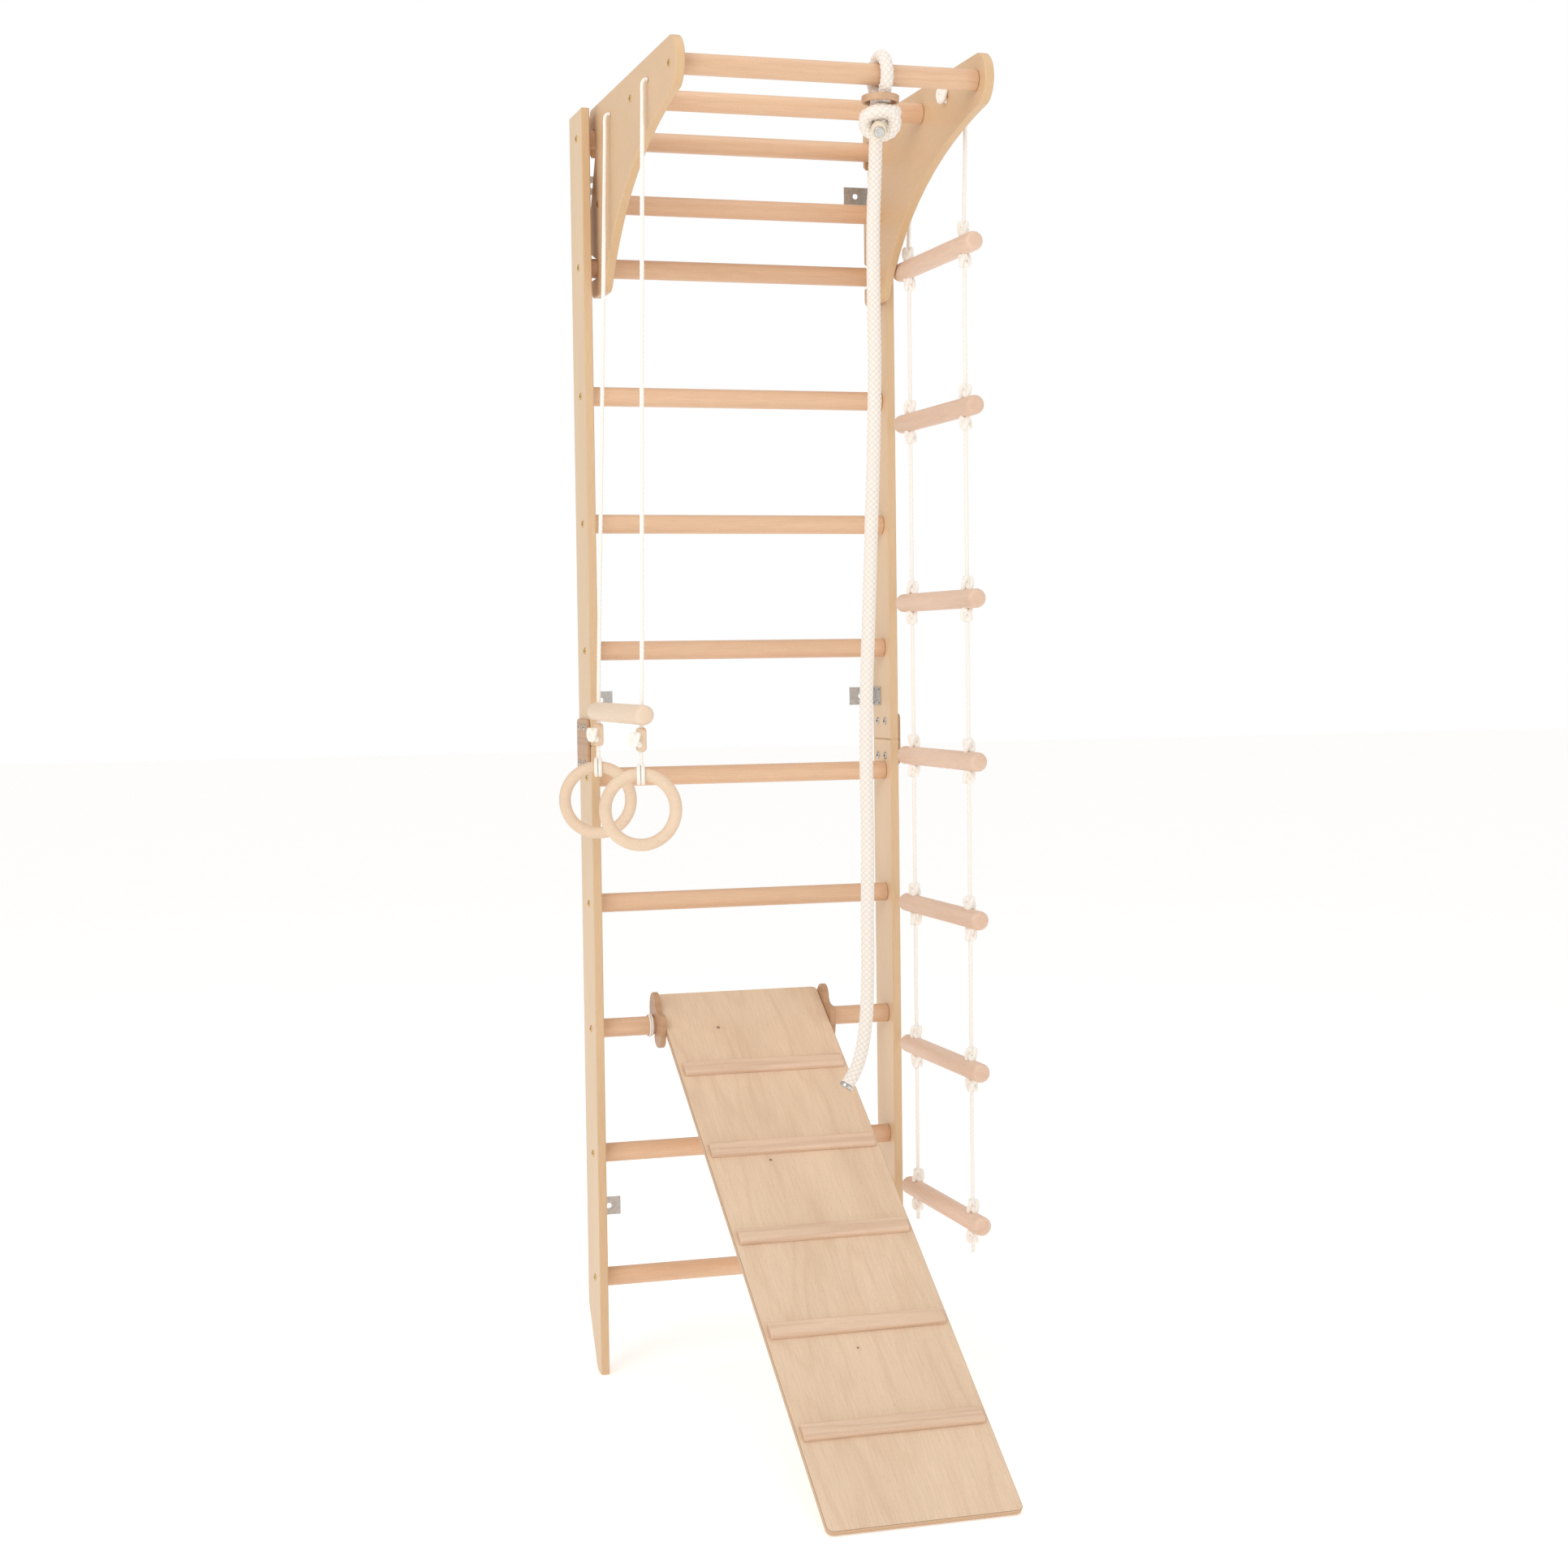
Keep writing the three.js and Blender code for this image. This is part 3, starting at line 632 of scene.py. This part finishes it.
def torus(centre, turn, radius, tube, segments=72, sides=28):
    """A ring whose axis is +Y turned about Z."""
    vertices, faces = [], []
    outward = Vector((math.cos(turn), math.sin(turn), 0))
    axis = Vector((-math.sin(turn), math.cos(turn), 0))
    for i in range(segments):
        angle = 2 * math.pi * i / segments
        spoke = outward * math.cos(angle) + Vector((0, 0, 1)) * math.sin(angle)
        for k in range(sides):
            around = 2 * math.pi * k / sides
            reach = spoke * (radius + tube * math.cos(around))
            vertices.append(centre + reach + axis * tube * math.sin(around))
    for i in range(segments):
        for k in range(sides):
            j, m = (i + 1) % segments, (k + 1) % sides
            faces.append((i * sides + k, i * sides + m, j * sides + m, j * sides + k))
    return vertices, faces


def add_rings():
    for place, y in (("front", TRAPEZE_FRONT), ("rear", TRAPEZE_REAR)):
        centre = at(leaning(RING_CENTRE_Z), y, RING_CENTRE_Z)
        shape = torus(centre, RING_TURN, RING_RADIUS / 1000, RING_TUBE / 1000)
        add_piece(f"ring_{place}_turned", shape, ring_look, "trapeze", [f"ring_{place}"])


def add_stopper_ring():
    inner, outer, half, soft = 24, 29.5, 5.5, 1.8
    corners = ((outer - soft, half - soft, 0), (inner + soft, half - soft, 90),
               (inner + soft, soft - half, 180), (outer - soft, soft - half, 270))
    outline = [(r + soft * math.cos(math.radians(start + a)), z + soft * math.sin(math.radians(start + a)))
               for r, z, start in corners for a in range(0, 91, 18)]
    vertices, faces = [], []
    segments, count = 64, len(outline)
    for i in range(segments):
        turn = 2 * math.pi * i / segments
        for r, z in outline:
            vertices.append(at(ROPE_X + r * math.cos(turn), FRONT_BAR_Y + r * math.sin(turn), STOPPER_Z + z))
        for k in range(count):
            j, m = (i + 1) % segments, (k + 1) % count
            faces.append((i * count + k, j * count + k, j * count + m, i * count + m))
    add_piece("rope_stopper_turned", (vertices, faces), stopper_look, "climbing_rope",
              ["rope_stopper_ring"])


# ---- climbing rope ----
ROPE_ROUTE = [
    (80, -495, 2058), (77, -495, 1990), (74, -495, 1920), (73, -496, 1810),
    (73, -497, 1700), (70, -497, 1580), (65, -496, 1450), (60, -495, 1320),
    (55, -494, 1200), (53, -494, 1080), (54, -494, 960), (52, -495, 850),
    (51, -496, 750), (47, -497, 675), (38, -498, 622), (27, -498, 592), (15, -498, 573),
]


def loop_route():
    wrap = RUNG_RADIUS + LOOP / 2 + LOOP_CLEARANCE
    low_front, low_rear = FRONT_BAR_Y - STRAND_OFFSET, FRONT_BAR_Y + STRAND_OFFSET
    route = [(ROPE_X + 3, low_front, STOPPER_Z - 6), (ROPE_X + 3, low_front, STOPPER_Z + 6)]
    for degrees in range(240, -61, -30):
        turn = math.radians(degrees)
        x = ROPE_X + 3 - 6 * (240 - degrees) / 300
        route.append((x, FRONT_BAR_Y + wrap * math.cos(turn), BAR_Z + wrap * math.sin(turn)))
    return route + [(ROPE_X - 3, low_rear, STOPPER_Z + 6), (ROPE_X - 3, low_rear, STOPPER_Z - 6)]


def cord_ring(centre, first, second, radius_a, radius_b, thickness, plaits=5, pitch=0.0045):
    """A closed loop of cord in the plane of two directions."""
    points = [centre + first * (radius_a * math.cos(t)) + second * (radius_b * math.sin(t))
              for t in (2 * math.pi * i / 20 for i in range(20))]
    return plaited_tube(points, thickness, plaits, pitch, PLAIT_DEPTH, closed=True)[:2]


def knot_points(centre, spread, height, turn, count):
    """A closed overhand-like knot around an upright cord."""
    points = []
    for i in range(count):
        t = 2 * math.pi * i / count
        x, y = math.sin(t) + 2 * math.sin(2 * t), math.cos(t) - 2 * math.cos(2 * t)
        c, s = math.cos(turn), math.sin(turn)
        points.append(centre + Vector((spread * (x * c - y * s) / 3, spread * (x * s + y * c) / 3,
                                       -height * math.sin(3 * t))))
    return points


def rope_wrap(centre, first, second):
    """One turn of the rope in its knot, in the plane of two directions."""
    return cord_ring(centre, first, second, KNOT_TURN_WIDTH, KNOT_TURN_DEPTH, KNOT_TURN_CORD, *KNOT_WEAVE)


def rope_core():
    """The strands inside the knot's turns, from the hanging rope up to the loop."""
    places = [at(ROPE_X, FRONT_BAR_Y, KNOT_Z + rise) for rise in (-25, 0, 25)]
    return plaited_tube(places, KNOT_CORE, *KNOT_WEAVE, PLAIT_DEPTH)[:2]


def add_climbing_rope():
    level = math.cos(TAIL_DROP)
    tail = Vector((level * math.sin(TAIL_TURN), -level * math.cos(TAIL_TURN), -math.sin(TAIL_DROP)))
    tail_start = at(ROPE_X - 8, FRONT_BAR_Y - 12, KNOT_Z - 13)
    profile = rod_profile(SLEEVE_LENGTH, SLEEVE_RADIUS, 0.002)
    shape = lathe(tail_start + tail * SLEEVE_START, tail, profile, 32)
    add_piece("rope_tail_cover", shape, sleeve_look, "climbing_rope", ["rope_tail_sleeve"])
    sleeve_end = SLEEVE_START + SLEEVE_LENGTH + GAP / 1000
    shape = lathe(tail_start + tail * sleeve_end, tail, rod_profile(0.005, 0.0085, 0.002), 32)
    add_piece("rope_tail_cap", shape, polished, "climbing_rope", ["rope_tail_ferrule"])
    end = at(*ROPE_ROUTE[-1])
    down = Vector((-math.sin(END_SLOPE), 0, -math.cos(END_SLOPE)))
    cap = add_piece("rope_end_cap", lathe(end + down * 0.0005, down, rod_profile(0.007, 0.0113, 0.002), 32),
                    polished, "climbing_rope", ["rope_end_ferrule"])
    add_cord("climbing_rope_braid", [at(*p) for p in ROPE_ROUTE], ROPE, rope_look, "climbing_rope",
             "climbing_rope", ROPE_WEAVE)
    add_cord("rope_loop_braid", [at(*p) for p in loop_route()], LOOP, rope_look, "climbing_rope", "rope_loop",
             ROPE_WEAVE)
    sideways = tail.cross(Vector((0, 0, 1))).normalized()
    sloping = Vector((math.cos(KNOT_SLOPE), 0, math.sin(KNOT_SLOPE)))
    upper = rope_wrap(at(ROPE_X, FRONT_BAR_Y, KNOT_Z + 10), sloping, Vector((0, 1, 0)))
    facing = rope_wrap(at(ROPE_X - 4, FRONT_BAR_Y - 8, KNOT_Z - 5), sideways, sideways.cross(tail))
    knot, hollows = gathered([upper, facing, rope_core()])
    add_piece("rope_knot_braid", knot, rope_look, "climbing_rope", ["rope_knot"], hollows)


# ---- trapeze cords and ladder ropes ----
def leaning(z):
    """How far out the trapeze's cords are at a height."""
    return TRAPEZE_X - TRAPEZE_LEAN * max(0, HANG_START - z) / (HANG_START - TRAPEZE_Z)


def trapeze_route(hole_y, bar_y):
    out = CHEEK_LEFT_OUTSIDE - GAP
    step = bar_y - hole_y
    route = [
        (out, hole_y, HANGER_Z), (out - 3.5, hole_y, HANGER_Z), (out - 7, hole_y, HANGER_Z - 3),
        (TRAPEZE_X, hole_y, HANGER_Z - 11), (TRAPEZE_X, hole_y, HANG_START), (leaning(2100), hole_y, 2100),
        (leaning(1950), hole_y + step * 0.15, 1950), (leaning(1700), hole_y + step * 0.4, 1700),
        (leaning(1450), hole_y + step * 0.75, 1450),
    ]
    low_end = RING_CENTRE_Z + RING_RADIUS + RING_TUBE + GAP
    return route + [(leaning(z), bar_y, z) for z in (1260, 1180, 1140, 1110, low_end)]


def ladder_route(hole_y, rope_y):
    out = CHEEK_RIGHT_OUTSIDE + GAP
    route = [
        (out, hole_y, HANGER_Z), (out + 5, hole_y, HANGER_Z), (out + 13.5, hole_y, HANGER_Z - 4),
        (LADDER_X, hole_y, HANGER_Z - 14), (LADDER_X, hole_y, HANGER_Z - 28), (LADDER_X, hole_y, 2100),
        (LADDER_X, rope_y, 1960), (LADDER_X, rope_y, 1890),
    ]
    route += [(LADDER_X, rope_y, z) for z in range(1700, 499, -200)]
    return route + [(LADDER_X, rope_y, 330), (LADDER_X, rope_y, 250)]


def knots(places, turn_step=1.3):
    """Small cord knots at the given points, each turned a little further than the last."""
    tied = []
    for i, place in enumerate(places):
        points = knot_points(place, SMALL_KNOT_SPREAD, SMALL_KNOT_HEIGHT, turn_step * i, 30)
        tied.append(plaited_tube(points, SMALL_KNOT_CORD, *CORD_WEAVE, PLAIT_DEPTH / 3, closed=True)[:2])
    return gathered(tied)


def add_trapeze_cords():
    for place, hole_y, bar_y in (("front", HANGER_FRONT, TRAPEZE_FRONT), ("rear", HANGER_REAR, TRAPEZE_REAR)):
        route = [at(*p) for p in trapeze_route(hole_y, bar_y)]
        add_cord(f"trapeze_cord_{place}_braid", route, CORD, cord_look, "trapeze",
                 f"trapeze_cord_{place}", CORD_WEAVE)
        ring_top = RING_CENTRE_Z + RING_RADIUS
        spoke = Vector((math.cos(RING_TURN + math.pi / 2), math.sin(RING_TURN + math.pi / 2), 0))
        side = Vector((math.cos(RING_TURN), math.sin(RING_TURN), 0))
        top = at(leaning(ring_top), bar_y, ring_top)
        wraps = [cord_ring(top + side * slide, spoke, Vector((0, 0, 1)), RING_WRAP_RADIUS, RING_WRAP_RADIUS,
                           RING_WRAP_CORD) for slide in (-0.0034, 0.0034)]
        tied = knots([at(leaning(ADJUSTER_Z) - 11, bar_y - 9, ADJUSTER_Z)])
        shape, hollows = gathered([*wraps, tied])
        add_piece(f"ring_{place}_tie", shape, cord_look, "trapeze", hollows=hollows)


def add_ladder_ropes():
    for place, hole_y, rope_y in (("front", HANGER_FRONT, LADDER_FRONT), ("rear", HANGER_REAR, LADDER_REAR)):
        route = [at(*p) for p in ladder_route(hole_y, rope_y)]
        add_cord(f"ladder_rope_{place}_braid", route, CORD, cord_look, "rope_ladder",
                 f"ladder_rope_{place}", CORD_WEAVE)
        reach = LADDER_RUNG_RADIUS + 9.5
        places = [at(LADDER_X, rope_y, z + side * reach) for z in LADDER_RUNGS for side in (1, -1)]
        shape, hollows = knots(places)
        add_piece(f"ladder_knots_{place}", shape, cord_look, "rope_ladder", hollows=hollows)


def add_frame_knots():
    """The knots that keep the hanging cords from slipping out of the cheeks, on the inner faces."""
    inward = CHEEK_THICKNESS + 5
    for side, x in (("left", CHEEK_LEFT_OUTSIDE + inward), ("right", CHEEK_RIGHT_OUTSIDE - inward)):
        shape, hollows = knots([at(x, y, HANGER_Z) for y in (HANGER_FRONT, HANGER_REAR)])
        add_piece(f"cheek_knots_{side}", shape, cord_look, "pull_up_frame", hollows=hollows)


# ---- screws, bolts, straps and ties ----
def screw_head(place, outward, radius, dome, segments=40, rings=12):
    """A domed, cross-recessed screw head standing on a face."""
    outward = Vector(outward).normalized()
    first, second = basis_for(outward)
    arm, half_width = radius * 0.62, radius * 0.17
    vertices, hollows, faces = [place + outward * dome * 0.3], [1.0], []
    for ring in range(1, rings + 1):
        r = radius * ring / rings
        for i in range(segments):
            turn = 2 * math.pi * i / segments
            a, b = r * math.cos(turn), r * math.sin(turn)
            longer, shorter = max(abs(a), abs(b)), min(abs(a), abs(b))
            recessed = longer < arm and shorter < half_width
            height = dome * math.sqrt(1 - 0.9 * (r / radius) ** 2) * (0.3 if recessed else 1)
            vertices.append(place + first * a + second * b + outward * height)
            # The cross recess is marked for painted shade: the metal darkens it almost to black.
            hollows.append(1.0 if recessed else 0.0)
    for i in range(segments):
        turn = 2 * math.pi * i / segments
        rim = (first * math.cos(turn) + second * math.sin(turn)) * radius
        vertices.append(place + rim - outward * 0.0003)
        hollows.append(0.0)
    for i in range(segments):
        j = (i + 1) % segments
        faces.append((0, 1 + i, 1 + j))
        for ring in range(rings):
            base, above = 1 + ring * segments, 1 + (ring + 1) * segments
            faces.append((base + i, above + i, above + j, base + j))
    faces.append(tuple(1 + rings * segments + i for i in reversed(range(segments))))
    return (vertices, faces), hollows


def hole_shade_disc(place, outward, radius):
    """A thin disc painted dark as the shade in the mouth of an unused hole in thin steel."""
    shape = lathe(place, outward, [(0.0, 0.0), (0.0, radius), (0.0002, radius), (0.0002, 0.0)], 20)
    return shape, [1.0] * len(shape[0])


def add_screws():
    for side, way in (("left", -1), ("right", 1)):
        rungs = [at(way * UPRIGHT_OUTSIDE, RUNG_AXIS_Y, TOP_RUNG - RUNG_PITCH * i) for i in range(10)]
        heads = [screw_head(place, (way, 0, 0), SCREW_RADIUS, SCREW_DOME) for place in rungs]
        shape, hollows = gathered(heads)
        add_piece(f"rung_screws_{side}", shape, brass, "wall_bars", hollows=hollows)
    for side, x, way in (("left", CHEEK_LEFT_OUTSIDE, -1), ("right", CHEEK_RIGHT_OUTSIDE, 1)):
        ends = ((FRONT_BAR_Y, BAR_Z), (MIDDLE_BAR_Y, BAR_Z), (REAR_BAR_Y, REAR_BAR_Z))
        bars = [at(x, y, z) for y, z in ends]
        heads = [screw_head(place, (way, 0, 0), SCREW_RADIUS, SCREW_DOME) for place in bars]
        shape, hollows = gathered(heads)
        add_piece(f"bar_screws_{side}", shape, brass, "pull_up_frame", hollows=hollows)


def add_splice_bolts():
    for side, way in (("left", -1), ("right", 1)):
        bolts = []
        for y in (30, 69):
            for z in (SEAM - 30, SEAM + 32):
                bolts.append(screw_head(at(way * UPRIGHT_INSIDE, y, z), (-way, 0, 0), 0.0068, 0.003))
                bolts.append(screw_head(at(way * (UPRIGHT_OUTSIDE + 5.3), y, z), (way, 0, 0), 0.0058, 0.0026))
        shape, hollows = gathered(bolts)
        add_piece(f"splice_bolts_{side}", shape, polished, "wall_bars", hollows=hollows)


def add_bracket_screws():
    for side, way in (("left", -1), ("right", 1)):
        face = way * (UPRIGHT_INSIDE - 2.3)
        details = []
        for z in BRACKET_HEIGHTS:
            details += [screw_head(at(face, 66, z + rise), (-way, 0, 0), 0.0035, 0.0012) for rise in (-9, 9)]
            details += [hole_shade_disc(at(face, y, z + rise), (-way, 0, 0), 0.0018)
                        for y in (55, 82) for rise in (-12, 12)]
        shape, hollows = gathered(details)
        add_piece(f"bracket_screws_{side}", shape, polished, "wall_bars", hollows=hollows)


def add_rung_strap():
    """The thin strap that ties the left cheek to rung 2."""
    forward, up = Vector((0, 1, 0)), Vector((0, 0, 1))
    centre = at(CHEEK_LEFT_OUTSIDE + CHEEK_THICKNESS + 4, RUNG_AXIS_Y - 6, TOP_RUNG - RUNG_PITCH - 2)
    shape, hollows = cord_ring(centre, forward, up, 0.0265, 0.0215, 0.0035)
    add_piece("frame_strap", shape, cord_look, "wall_bars", hollows=hollows)


def add_slide_ties():
    forward, up = Vector((0, 1, 0)), Vector((0, 0, 1))
    for side, x, spacing in (("left", BOARD_EDGE_LEFT - 15, -3.6), ("right", BOARD_EDGE_RIGHT + 15, 3.6)):
        centres = [at(x + step, RUNG_AXIS_Y, SLIDE_RUNG_Z) for step in (0, spacing)]
        turns = [cord_ring(centre, forward, up, SLIDE_TIE_RADIUS, SLIDE_TIE_RADIUS, SLIDE_TIE_CORD)
                 for centre in centres]
        shape, hollows = gathered(turns)
        add_piece(f"slide_tie_{side}", shape, cord_look, "wall_bars", hollows=hollows)


# ---- carried-over CAD pieces ----
def dress(material, *nodes):
    for node in nodes:
        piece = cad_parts[node]
        piece.data.materials.clear()
        piece.data.materials.append(material)


def dress_cad():
    for side in ("left", "right"):
        dress(upright_look, f"upright_{side}_lower", f"upright_{side}_upper")
        dress(cheek_shaded_look, f"cheek_{side}")
        dress(hook_look, f"splice_plate_{side}", f"slide_hook_{side}")
        dress(zinc, *(f"wall_bracket_{side}_{place}" for place in ("top", "middle", "bottom")))
    dress(ring_look, "rope_adjuster_front", "rope_adjuster_rear")
    dress(board_look, "slide_board")
    dress(cleat_look, *(f"slide_cleat_{number}" for number in range(1, 6)))


add_camera()
add_studio()
add_climbing_rope()
add_trapeze_cords()
add_ladder_ropes()
add_frame_knots()
add_rungs_and_bars()
add_rings()
add_stopper_ring()
add_screws()
add_splice_bolts()
add_bracket_screws()
add_rung_strap()
add_slide_ties()
dress_cad()
